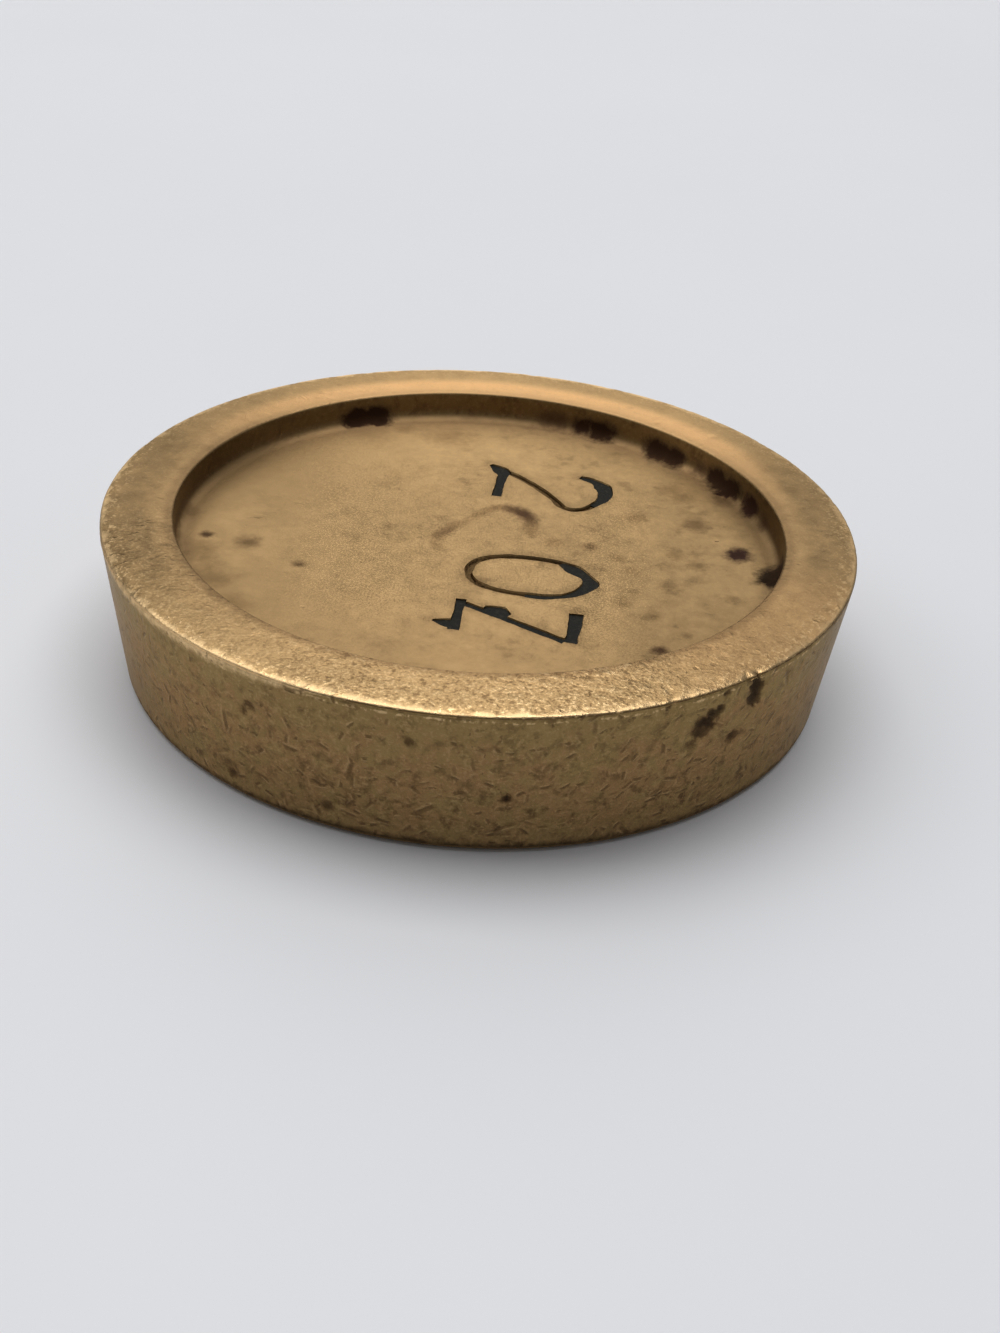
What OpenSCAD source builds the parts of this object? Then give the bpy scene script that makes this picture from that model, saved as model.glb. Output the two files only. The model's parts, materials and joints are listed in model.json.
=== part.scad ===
// Brass disc weight of two ounces, with the lead plug that adjusts it.
// Both pieces are turned about the Z axis. The foot stands on Z = 0.

/* [Disc] */
// Diameter of the upper edge, where the disc is widest
top_d = 36.8; // [33:0.1:44]
// Diameter of the foot, where the tapered side ends
foot_d = 34.7; // [31:0.1:42]
// Height from the foot to the rim
height = 7.7; // [6:0.1:14]
// Radius that handling has left on the upper edge
top_edge_r = 0.2; // [0.05:0.05:0.6]
// Radius of the broken edge round the foot
foot_edge_r = 0.15; // [0.05:0.05:0.6]

/* [Dish] */
// Diameter inside the dish's upright wall, which locates the next smaller weight
dish_d = 29.8; // [20:0.1:31]
// Depth of the dish below the rim
dish_depth = 1.6; // [1.4:0.1:2.8]
// Radius of the worn lip where the rim turns down into the dish
lip_r = 0.2; // [0.05:0.05:0.95]
// Radius of the fillet between the dish's wall and its floor
floor_r = 0.5; // [0.2:0.05:0.8]

/* [Adjusting cavity] */
// Diameter of the cavity's mouth in the underside
mouth_d = 10; // [6:0.5:16]
// How much the cavity widens on each side up to its roof, which keys the lead in
undercut = 0.5; // [0.1:0.1:1.5]
// Depth of the cavity
cavity_depth = 3; // [1.5:0.1:4.5]

/* [Lead plug] */
// Distance from the underside up to the plug's hammered face
plug_recess = 0.3; // [0.1:0.05:0.8]
// Radius that the hammer leaves round the plug's face
plug_edge_r = 0.3; // [0.1:0.05:0.6]
// Gap between the plug's flank and the cavity, measured along a radius
plug_gap = 0.02; // [0.01:0.01:0.05]

/* [Hidden] */
$fn = 180;

dish_floor_z = height - dish_depth;

// Radius of the cavity at a height above the underside
function cavity_radius(z) = mouth_d / 2 + undercut * z / cavity_depth;

// Direction from one point to another
function toward(from, to) = (to - from) / norm(to - from);

// Half of the angle at corner p between its edges to a and to b
function half_angle(p, a, b) = acos(toward(p, a) * toward(p, b)) / 2;

// Where a round of radius r at corner p leaves the edge to a
function tangent_point(p, a, b, r) = p + toward(p, a) * r / tan(half_angle(p, a, b));

// Centre of the round of radius r at corner p
function round_centre(p, a, b, r) =
    p + toward([0, 0], toward(p, a) + toward(p, b)) * r / sin(half_angle(p, a, b));

// True where an outline drawn counter-clockwise turns left at p, so that the corner stands out
function stands_out(p, a, b) = cross(p - a, b - p) > 0;

// One turned piece. Each corner of the half section is [radius, height, round],
// counter-clockwise, and every round is a true arc.
module turned(corners) {
    count = len(corners);
    p = [for (c = corners) [c[0], c[1]]];
    before = [for (i = [0 : count - 1]) p[(i + count - 1) % count]];
    after = [for (i = [0 : count - 1]) p[(i + 1) % count]];
    rounded = [for (i = [0 : count - 1]) if (corners[i][2] > 0) i];
    outline = [for (i = [0 : count - 1]) each
        corners[i][2] > 0
            ? [tangent_point(p[i], before[i], after[i], corners[i][2]),
               tangent_point(p[i], after[i], before[i], corners[i][2])]
            : [p[i]]];
    rotate_extrude() difference() {
        union() {
            polygon(outline);
            for (i = rounded) if (stands_out(p[i], before[i], after[i]))
                translate(round_centre(p[i], before[i], after[i], corners[i][2]))
                    circle(corners[i][2]);
        }
        for (i = rounded) if (!stands_out(p[i], before[i], after[i]))
            translate(round_centre(p[i], before[i], after[i], corners[i][2]))
                circle(corners[i][2]);
    }
}

// The brass: a tapered side, a flat rim, the dish in the top
// and the undercut cavity in the underside
module weight_body() {
    color("darkgoldenrod") turned([
        [0, cavity_depth, 0],
        [cavity_radius(cavity_depth), cavity_depth, 0],
        [cavity_radius(0), 0, 0],
        [foot_d / 2, 0, foot_edge_r],
        [top_d / 2, height, top_edge_r],
        [dish_d / 2, height, lip_r],
        [dish_d / 2, dish_floor_z, floor_r],
        [0, dish_floor_z, 0]
    ]);
}

// The lead: run into the cavity and hammered down until the weight is true
module adjusting_plug() {
    color("dimgray") turned([
        [0, plug_recess, 0],
        [cavity_radius(plug_recess) - plug_gap, plug_recess, plug_edge_r],
        [cavity_radius(cavity_depth) - plug_gap, cavity_depth, 0],
        [0, cavity_depth, 0]
    ]);
}

weight_body();
adjusting_plug();
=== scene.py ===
import json
from math import atan2, copysign, cos, hypot, pi, radians, sin, tan

import bpy
from mathutils import Matrix, Vector, noise

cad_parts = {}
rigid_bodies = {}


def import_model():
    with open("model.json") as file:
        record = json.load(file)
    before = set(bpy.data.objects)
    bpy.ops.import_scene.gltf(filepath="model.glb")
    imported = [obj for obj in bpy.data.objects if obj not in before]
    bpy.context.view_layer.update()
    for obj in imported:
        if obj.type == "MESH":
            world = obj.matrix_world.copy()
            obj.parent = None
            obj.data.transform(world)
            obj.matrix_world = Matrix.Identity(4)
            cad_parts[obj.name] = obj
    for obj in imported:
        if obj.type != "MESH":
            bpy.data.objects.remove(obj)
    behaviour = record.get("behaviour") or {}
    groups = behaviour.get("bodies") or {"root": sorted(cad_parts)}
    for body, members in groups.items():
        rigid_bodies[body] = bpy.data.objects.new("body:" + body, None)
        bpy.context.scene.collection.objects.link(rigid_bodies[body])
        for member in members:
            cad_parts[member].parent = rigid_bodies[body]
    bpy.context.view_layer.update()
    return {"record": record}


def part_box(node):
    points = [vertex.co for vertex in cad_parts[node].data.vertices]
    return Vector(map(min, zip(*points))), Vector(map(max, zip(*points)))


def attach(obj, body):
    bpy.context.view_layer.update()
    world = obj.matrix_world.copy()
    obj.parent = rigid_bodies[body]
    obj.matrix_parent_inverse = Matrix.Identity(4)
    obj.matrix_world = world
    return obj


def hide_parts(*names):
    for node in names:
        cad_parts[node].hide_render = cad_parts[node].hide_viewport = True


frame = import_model()

# Camera. It looks down from the front, rolled a little as a hand-held view is, and the image is taken
# to be 1000 by 1333 pixels, so the sensor's width lies along the image's height.
VIEW_SIDE = radians(6.0)  # from +X towards +Y
VIEW_RISE = radians(31.18)
VIEW_ROLL = radians(-4.174)
VIEW_REACH = 0.09093  # from the rim's centre to the lens, along the view
VIEW_SLIDE = (-0.001461, 0.007483)  # the rim's centre off the view's axis, to the right and up
LENS = 50.04  # in mm, as the sensor's width is
SENSOR = 36.0
NEAREST = 0.002  # what the lens sees lies between these
FARTHEST = 20

rim_centre = Vector((0, 0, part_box("weight_body")[1].z))
forward = Vector((-cos(VIEW_SIDE) * cos(VIEW_RISE), -sin(VIEW_SIDE) * cos(VIEW_RISE), -sin(VIEW_RISE)))
level_right = Vector((-sin(VIEW_SIDE), cos(VIEW_SIDE), 0))
level_up = level_right.cross(forward)
lens_place = rim_centre - level_right * VIEW_SLIDE[0] - level_up * VIEW_SLIDE[1] - forward * VIEW_REACH
camera_right = level_right * cos(VIEW_ROLL) - level_up * sin(VIEW_ROLL)
camera_up = level_right * sin(VIEW_ROLL) + level_up * cos(VIEW_ROLL)

camera = bpy.data.objects.new("camera", bpy.data.cameras.new("camera"))
camera.data.lens = LENS
camera.data.sensor_width = SENSOR
camera.data.clip_start = NEAREST
camera.data.clip_end = FARTHEST
camera.matrix_world = Matrix.Translation(lens_place) @ Matrix(
    (camera_right, camera_up, -forward)).transposed().to_4x4()
bpy.context.scene.collection.objects.link(camera)
bpy.context.scene.camera = camera

# The disc. A bar blank of brass is turned all over: a tapered side, a flat rim, a dish that takes the
# next smaller weight, and an undercut cavity below for the lead. The value mark is struck into the dish
# with punches. Handling has dulled the brass brown, scratched it and knocked its edges. Sizes are in mm.
MM = 0.001
TOP_R = 18.4
FOOT_R = 17.35
EDGE_ROUND = 0.1
FOOT_ROUND = 0.5
LIP_ROUND = 0.15
FILLET = 0.5
CROWN = (16.2, 17.3)  # between these the worn rim is highest
CROWN_ROUND = 9.0
WORN_IN = 0.05  # how far wear has lowered the rim at the dish
LIP_FALL = (15.5, 0.018, 1.2)  # where it turns down to the lip: radius, how low it is, and its round
WORN_OUT = 0.07  # how far wear has lowered the rim at its outer edge
BURR = (7.16, 7.54)  # heights between which blows on the edge have turned metal down over the side
BURR_Z = 7.5
FLECK_Z = 7.3  # where the turned metal ends, in bright flecks
MOUTH_R = 5.0
UNDERCUT = 0.5
CAVITY_DEPTH = 3.0
DISH_SQUARES = 160  # across the dish, so four times as many steps round it
WELD = 0.002  # points closer than this become one
FINE = 0.2  # the longest side of a face where the disc shows its wear
FINEST = 0.055
COARSE = 1.5

mounts = {mount["name"]: mount for mount in frame["record"]["mounts"]}
height = rim_centre.z / MM
dish_r = mounts["dish_wall"]["dims"]["r_mm"]
dish_z = mounts["dish_floor"]["pos_m"][2] / MM
floor_r = dish_r - FILLET


def side_r(z):
    """Radius of the tapered side at a height."""
    return FOOT_R + (TOP_R - FOOT_R) * z / height


def turned_section(corners):
    """Points along a half section. A corner is (radius, height, round, longest step up to it)."""
    points = [Vector(corners[0][:2])]
    runs = []
    steps_to = [corner[3] for corner in corners[1:]]
    for before, corner, after in zip(corners, corners[1:], corners[2:]):
        place = Vector(corner[:2])
        back = (Vector(before[:2]) - place).normalized()
        onward = (Vector(after[:2]) - place).normalized()
        half = back.angle(onward) / 2
        if corner[2] == 0:
            runs.append([place])
            continue
        centre = place + (back + onward).normalized() * corner[2] / sin(half)
        start = place + back * corner[2] / tan(half) - centre
        finish = place + onward * corner[2] / tan(half) - centre
        turn = atan2(start.x * finish.y - start.y * finish.x, start.dot(finish))
        steps = max(4, round(abs(turn) * corner[2] / corner[3]))
        arc = []
        for i in range(steps + 1):
            angle = turn * i / steps
            arc.append(centre + Vector((start.x * cos(angle) - start.y * sin(angle),
                                        start.x * sin(angle) + start.y * cos(angle))))
        runs.append(arc)
    runs.append([Vector(corners[-1][:2])])
    for run, step in zip(runs, steps_to):
        gap = (run[0] - points[-1]).length
        cuts = int(gap / step)
        last = points[-1]
        points += [last.lerp(run[0], i / (cuts + 1)) for i in range(1, cuts + 1)]
        points += run if gap > 1e-6 else run[1:]
    return points


def plain_object(name, points, edges=(), faces=()):
    """An object with a mesh of its own, from points in mm."""
    mesh = bpy.data.meshes.new(name)
    mesh.from_pydata([Vector(p) * MM for p in points], edges, faces)
    made = bpy.data.objects.new(name, mesh)
    bpy.context.scene.collection.objects.link(made)
    return made


def section_object(name, section):
    """A half section as points joined by edges, in the plane of X and Z."""
    edges = [(i, i + 1) for i in range(len(section) - 1)]
    return plain_object(name, [(p.x, 0, p.y) for p in section], edges)


class Field:
    """A number or vector that a node tree works out at each point, written as ordinary arithmetic."""

    def __init__(self, socket):
        self.socket = socket

    def math(self, operation, *others, clamp=False):
        node = self.socket.id_data.nodes.new("ShaderNodeMath")
        node.operation = operation
        node.use_clamp = clamp
        for socket, value in zip(node.inputs, (self, *others)):
            feed(socket, value)
        return Field(node.outputs[0])

    def vector(self, operation, *others):
        node = self.socket.id_data.nodes.new("ShaderNodeVectorMath")
        node.operation = operation
        for socket, value in zip([s for s in node.inputs if s.enabled], (self, *others)):
            feed(socket, value)
        return Field(next(s for s in node.outputs if s.enabled))

    def __add__(self, other):
        return self.math("ADD", other)

    def __sub__(self, other):
        return self.math("SUBTRACT", other)

    def __mul__(self, other):
        return self.math("MULTIPLY", other)

    def __truediv__(self, other):
        return self.math("DIVIDE", other)

    def __rsub__(self, other):
        return (self * -1) + other

    def __rtruediv__(self, other):
        return self.math("POWER", -1.0) * other

    __radd__ = __add__
    __rmul__ = __mul__

    def rise(self, low, high):
        """0 up to low, 1 from high on, with a soft step between."""
        node = self.socket.id_data.nodes.new("ShaderNodeMapRange")
        node.interpolation_type = "SMOOTHSTEP"
        for socket, value in zip(node.inputs, (self, low, high, 0, 1)):
            feed(socket, value)
        return Field(node.outputs[0])


def feed(socket, value):
    """Links a field or a socket to the socket, or sets a plain value on it."""
    if isinstance(value, Field):
        value = value.socket
    if isinstance(value, bpy.types.NodeSocket):
        socket.id_data.links.new(value, socket)
    else:
        socket.default_value = value


def node(tree, kind, inputs=None, **settings):
    """A node of that kind with those settings. Its inputs are named, or numbered where names repeat."""
    made = tree.nodes.new(kind)
    for name, value in settings.items():
        setattr(made, name, value)
    for name, value in (inputs or {}).items():
        feed(made.inputs[name], value)
    return made


def split(vector):
    """The x, y and z of a vector field."""
    made = node(vector.socket.id_data, "ShaderNodeSeparateXYZ", {0: vector})
    return [Field(s) for s in made.outputs]


def joined(tree, x, y, z):
    """A vector field of x, y and z."""
    return Field(node(tree, "ShaderNodeCombineXYZ", {0: x, 1: y, 2: z}).outputs[0])


def cloud(place, scale, detail=2.0, rough=0.5, seed=(0, 0, 0)):
    """Soft noise from 0 to 1 about 0.5, in patches of about 1 / scale."""
    noisy = node(place.socket.id_data, "ShaderNodeTexNoise", {
        "Vector": place.vector("ADD", seed), "Scale": scale, "Detail": detail, "Roughness": rough})
    return Field(noisy.outputs["Fac"])


def shape_tree(name, inputs):
    """A Geometry Nodes tree that takes a mesh and those inputs, and the node that holds them."""
    tree = bpy.data.node_groups.new(name, "GeometryNodeTree")
    tree.interface.new_socket("Mesh", in_out="INPUT", socket_type="NodeSocketGeometry")
    for label, kind in inputs:
        tree.interface.new_socket(label, in_out="INPUT", socket_type="NodeSocket" + kind)
    tree.interface.new_socket("Mesh", in_out="OUTPUT", socket_type="NodeSocketGeometry")
    return tree, tree.nodes.new("NodeGroupInput").outputs


def finish_tree(tree, mesh, material):
    """Ends the tree: real geometry, with its material."""
    real = node(tree, "GeometryNodeRealizeInstances", {"Geometry": mesh})
    coated = node(tree, "GeometryNodeSetMaterial", {"Geometry": real.outputs[0], "Material": material})
    tree.links.new(coated.outputs[0], tree.nodes.new("NodeGroupOutput").inputs[0])


def turned_tree():
    """Turns a half section about Z, and closes its open end with a disc of even squares."""
    tree, given = shape_tree("turned_piece", [
        ("Disc squares", "Int"), ("Disc radius", "Float"), ("Disc height", "Float"),
        ("Faces down", "Bool"), ("Material", "Material")])
    section = given["Mesh"]
    squares = Field(given["Disc squares"])
    count = Field(node(tree, "GeometryNodeAttributeDomainSize", {0: section}).outputs["Point Count"])
    around = squares * 4
    index = Field(node(tree, "GeometryNodeInputIndex").outputs[0])
    wall = node(tree, "GeometryNodeMeshGrid", {"Vertices X": around + 1, "Vertices Y": count})
    column = ((index + 0.5) / count).math("FLOOR")
    row = (index - column * count).math("ROUND")
    place = node(tree, "GeometryNodeSampleIndex", {
        "Geometry": section, "Value": node(tree, "GeometryNodeInputPosition").outputs[0],
        "Index": row}, data_type="FLOAT_VECTOR")
    radius, _, rise = split(Field(place.outputs[0]))
    angle = column / around * (2 * pi)
    turned = node(tree, "GeometryNodeSetPosition", {
        "Geometry": wall.outputs["Mesh"],
        "Position": joined(tree, radius * angle.math("COSINE"), radius * angle.math("SINE"), rise)})

    sheet = node(tree, "GeometryNodeMeshGrid", {
        "Size X": 2.0, "Size Y": 2.0, "Vertices X": squares + 1, "Vertices Y": squares + 1})
    x, y, _ = split(Field(node(tree, "GeometryNodeInputPosition").outputs[0]))
    wide = x.math("ABSOLUTE").math("GREATER_THAN", y.math("ABSOLUTE"))
    ring = x * wide + y * (1 - wide)
    share = (y / x) * wide + (x / y) * (1 - wide)
    bearing = share * (pi / 4) * wide + (pi / 2 - share * (pi / 4)) * (1 - wide)
    reach = ring * Field(given["Disc radius"])
    disc = node(tree, "GeometryNodeSetPosition", {
        "Geometry": sheet.outputs["Mesh"],
        "Position": joined(tree, reach * bearing.math("COSINE"), reach * bearing.math("SINE"),
                           Field(given["Disc height"]))})
    outside = node(tree, "GeometryNodeFlipFaces", {"Mesh": turned.outputs[0]})
    both = node(tree, "GeometryNodeJoinGeometry")
    tree.links.new(outside.outputs[0], both.inputs[0])
    tree.links.new(disc.outputs[0], both.inputs[0])
    whole = node(tree, "GeometryNodeMergeByDistance", {
        "Geometry": both.outputs[0], "Distance": WELD * MM})
    outward = node(tree, "GeometryNodeFlipFaces", {
        "Mesh": whole.outputs[0], "Selection": given["Faces down"]})
    finish_tree(tree, outward.outputs[0], given["Material"])
    return tree


def shaped(base, *steps):
    """Runs Geometry Nodes trees on an object, and returns the result as a plain object of its name."""
    for tree, inputs in steps:
        modifier = base.modifiers.new(tree.name, "NODES")
        modifier.node_group = tree
        for item in tree.interface.items_tree:
            if item.in_out == "INPUT" and item.name in inputs:
                modifier[item.identifier] = inputs[item.name]
    evaluated = base.evaluated_get(bpy.context.evaluated_depsgraph_get())
    mesh = bpy.data.meshes.new_from_object(evaluated)
    coat = mesh.materials[-1]
    mesh.materials.clear()
    mesh.materials.append(coat)
    mesh.polygons.foreach_set("material_index", [0] * len(mesh.polygons))
    name = base.name
    base.modifiers.clear()
    bpy.data.objects.remove(base)
    mesh.name = name
    made = bpy.data.objects.new(name, mesh)
    bpy.context.scene.collection.objects.link(made)
    return made


# The value mark's strokes, in mm on the dish: [x, y, width] along each. Those in FILLED hold black
# filling, and those in BARE have lost it.
FILLED = {
    "two_hook": [(-8.65, 4.1, 0.42), (-8.42, 4.75, 0.66), (-7.95, 5.3, 0.86), (-7.1, 5.6, 0.82),
                 (-6.2, 5.5, 0.66), (-5.5, 5.12, 0.45)],
    "two_base": [(-8.95, -0.75, 0.3), (-8.4, -0.15, 0.9), (-7.9, 0.06, 0.7), (-7.2, 0.05, 0.54),
                 (-5.2, 0.08, 0.5)],
    "ring_crown": [(1.3, 4.2, 0.4), (1.6, 4.65, 0.85), (1.95, 5.1, 0.9), (2.45, 5.6, 0.7),
                   (3.0, 5.85, 0.95), (3.5, 5.68, 0.7), (4.1, 5.3, 0.55), (4.6, 4.6, 0.42),
                   (4.9, 3.8, 0.46), (4.93, 2.9, 0.36)],
    "zed_top": [(6.08, 5.5, 0.7), (7.4, 5.55, 0.62), (8.85, 5.5, 0.68)],
    "zed_slope": [(8.75, 5.25, 0.5), (7.6, 2.85, 0.48), (6.4, 0.25, 0.46)],
    "zed_blot": [(6.5, 1.2, 0.35), (6.66, 1.6, 0.95), (6.85, 2.0, 1.05), (7.1, 2.45, 0.5)],
    "zed_base": [(6.0, 0.06, 0.5), (7.3, 0.1, 0.46), (8.95, 0.14, 0.6)],
    "zed_foot": [(8.38, 0.2, 1.05), (8.36, -0.3, 0.85), (8.28, -0.95, 0.22)],
}
BARE = {
    "two_bowl": [(-5.6, 5.2, 0.46), (-4.95, 4.75, 0.46), (-4.66, 4.1, 0.46), (-4.95, 3.5, 0.46),
                 (-5.7, 3.0, 0.46), (-6.9, 1.95, 0.46), (-7.9, 0.8, 0.46), (-8.2, 0.3, 0.46)],
}
RING = (3.01, 2.85, 1.86, 2.9, 0.46)  # the O: centre, half widths, width of its stroke
RING_FULLNESS = 2.35  # 2 makes it an ellipse, more makes it squarer
RING_STEPS = 72
DEEP = 0.3  # how far the punches of the filled strokes went in, and then those of the bare ones
SHALLOW = 0.16
PUNCH_RISE = 0.2  # how far a punch stands out of the floor, and how much wider it is there
PUNCH_FLARE = 0.05
GROOVE_BOTTOM = 0.62  # share of a groove's width that is left at its bottom
RAGGED = (0.22, 1.9)  # how much a stroke's width wanders, and how often in a mm


def smooth_stroke(points, steps=8):
    """A smooth line through [x, y, width] points, so that each stroke bends as a punch's does."""
    ends = [points[0], *points, points[-1]]
    line = []
    for a, b, c, d in zip(ends, ends[1:], ends[2:], ends[3:]):
        a, b, c, d = (Vector(p) for p in (a, b, c, d))
        for i in range(steps):
            t = i / steps
            line.append(0.5 * (2 * b + (c - a) * t + (2 * a - 5 * b + 4 * c - d) * t * t
                               + (3 * b - a - 3 * c + d) * t ** 3))
    return [*line, Vector(points[-1])]


def ring_stroke():
    """The O as a closed line of [x, y, width] points."""
    x, y, half_x, half_y, width = RING
    line = []
    for i in range(RING_STEPS):
        turn = 2 * pi * i / RING_STEPS
        across = copysign(abs(cos(turn)) ** (2 / RING_FULLNESS), cos(turn))
        upward = copysign(abs(sin(turn)) ** (2 / RING_FULLNESS), sin(turn))
        line.append(Vector((x + half_x * across, y + half_y * upward, width)))
    return line


def swept_stroke(name, line, profile, closed=False):
    """A closed bar along a stroke. The profile is a list of (share of half width, extra, height)."""
    points, faces = [], []
    sides = [(1, *p) for p in profile] + [(-1, *p) for p in reversed(profile)]
    count = len(line)
    swing, often = RAGGED
    for i, point in enumerate(line):
        before = line[i - 1] if i or closed else point
        after = line[(i + 1) % count] if i < count - 1 or closed else point
        along = Vector((after.x - before.x, after.y - before.y)).normalized()
        across = Vector((-along.y, along.x))
        ragged = 1 + swing * noise.noise(Vector((point.x * often, point.y * often, 0.7)))
        for side, share, extra, z in sides:
            reach = side * (share * ragged * point.z / 2 + extra)
            points.append((point.x + across.x * reach, point.y + across.y * reach, z))
    ring = len(sides)
    for i in range(count if closed else count - 1):
        j = (i + 1) % count
        for k in range(ring):
            m = (k + 1) % ring
            faces.append((i * ring + k, j * ring + k, j * ring + m, i * ring + m))
    if not closed:
        faces.append(tuple(range(ring)))
        faces.append(tuple(reversed(range((count - 1) * ring, count * ring))))
    return plain_object(name, points, faces=faces)


def punch(line, depth, closed=False):
    """A punch for one stroke: steep walls that close in a little towards the bottom."""
    profile = [(1, PUNCH_FLARE, dish_z + PUNCH_RISE), (1, 0, dish_z), (GROOVE_BOTTOM, 0, dish_z - depth)]
    return swept_stroke("punch", line, profile, closed)


def mark_lines_object(lines):
    """The middles of all the strokes, as points joined by edges."""
    points, edges = [], []
    for line in lines:
        start = len(points)
        points += [(p.x, p.y, dish_z) for p in line]
        edges += [(start + i, start + i + 1) for i in range(len(line) - 1)]
    return plain_object("mark_lines", points, edges)


strokes = {name: smooth_stroke(points) for name, points in {**FILLED, **BARE}.items()}
ring_line = ring_stroke()
punches = [punch(line, DEEP if name in FILLED else SHALLOW) for name, line in strokes.items()]
punches.append(punch(ring_line, SHALLOW, closed=True))
punch_set = bpy.data.collections.new("punches")
for tool in punches:
    punch_set.objects.link(tool)
mark_lines = mark_lines_object([*strokes.values(), [*ring_line, ring_line[0]]])

# Knocks that show, with more than one in a long dent. On the side they are (bearing in degrees, height,
# radius, depth), and on the rim (x, y, radius, depth).
SIDE_KNOCKS = [
    (48.1, 7.45, 0.4, 0.075), (49.2, 7.35, 0.62, 0.17), (49.4, 7.0, 0.85, 0.19), (49.7, 6.4, 0.7, 0.15),
    (43.1, 6.45, 0.45, 0.11), (42.0, 6.2, 0.65, 0.13), (41.1, 5.85, 0.95, 0.12), (40.4, 5.4, 0.85, 0.1),
    (39.6, 4.85, 0.5, 0.08), (47.0, 4.45, 0.6, 0.1), (43.5, 7.2, 0.36, 0.1), (34.0, 7.35, 0.4, 0.085),
    (34.8, 7.6, 0.28, 0.09), (-24.0, 5.6, 0.45, 0.085), (-25.2, 5.2, 0.5, 0.085),
    (-0.5, 5.8, 0.4, 0.085), (-29.0, 1.15, 0.55, 0.095), (-12.5, 1.3, 0.55, 0.09),
    (-11.0, 1.7, 0.35, 0.075), (13.0, 3.1, 0.36, 0.12), (20.0, 1.6, 0.4, 0.04), (-45.0, 3.0, 0.6, 0.03),
]
RIM_KNOCKS = [
    (14.1, 6.8, 0.35, 0.08), (14.1, 1.1, 0.45, 0.05), (5.25, 17.0, 0.5, 0.04), (14.5, 10.25, 0.4, 0.05),
]
DIRTY_DEPTH = 0.1  # about how deep a knock has to be to hold dirt all over
# Nicks are the small knocks that aren't listed: least and greatest radius and depth, how many lie on a
# square metre of the edge and elsewhere, and the shares of radius and height where the edge begins
NICK_R = (0.18, 0.4)
NICK_DEPTH = (0.01, 0.03)
EDGE_NICKS = 2.5e6
LOOSE_NICKS = 5e4
EDGE_SHARES = (0.986, 0.96)
CRISP_BEND = radians(38)  # an edge that bends more than this stays sharp


def knock_object():
    """The named knocks as points, each with its radius and depth in metres."""
    knocks = [(side_r(z) * cos(radians(bearing)), side_r(z) * sin(radians(bearing)), z, radius, depth)
              for bearing, z, radius, depth in SIDE_KNOCKS]
    knocks += [(x, y, height, radius, depth) for x, y, radius, depth in RIM_KNOCKS]
    made = plain_object("knocks", [knock[:3] for knock in knocks])
    for label, column in (("knock_radius", 3), ("knock_depth", 4)):
        layer = made.data.attributes.new(label, "FLOAT", "POINT")
        layer.data.foreach_set("value", [knock[column] * MM for knock in knocks])
    return made


def with_number(tree, mesh, name, value):
    """The mesh with that number stored on its points."""
    kept = node(tree, "GeometryNodeStoreNamedAttribute", {
        "Geometry": mesh, "Name": name, "Value": value}, data_type="FLOAT")
    return kept.outputs[0]


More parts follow.
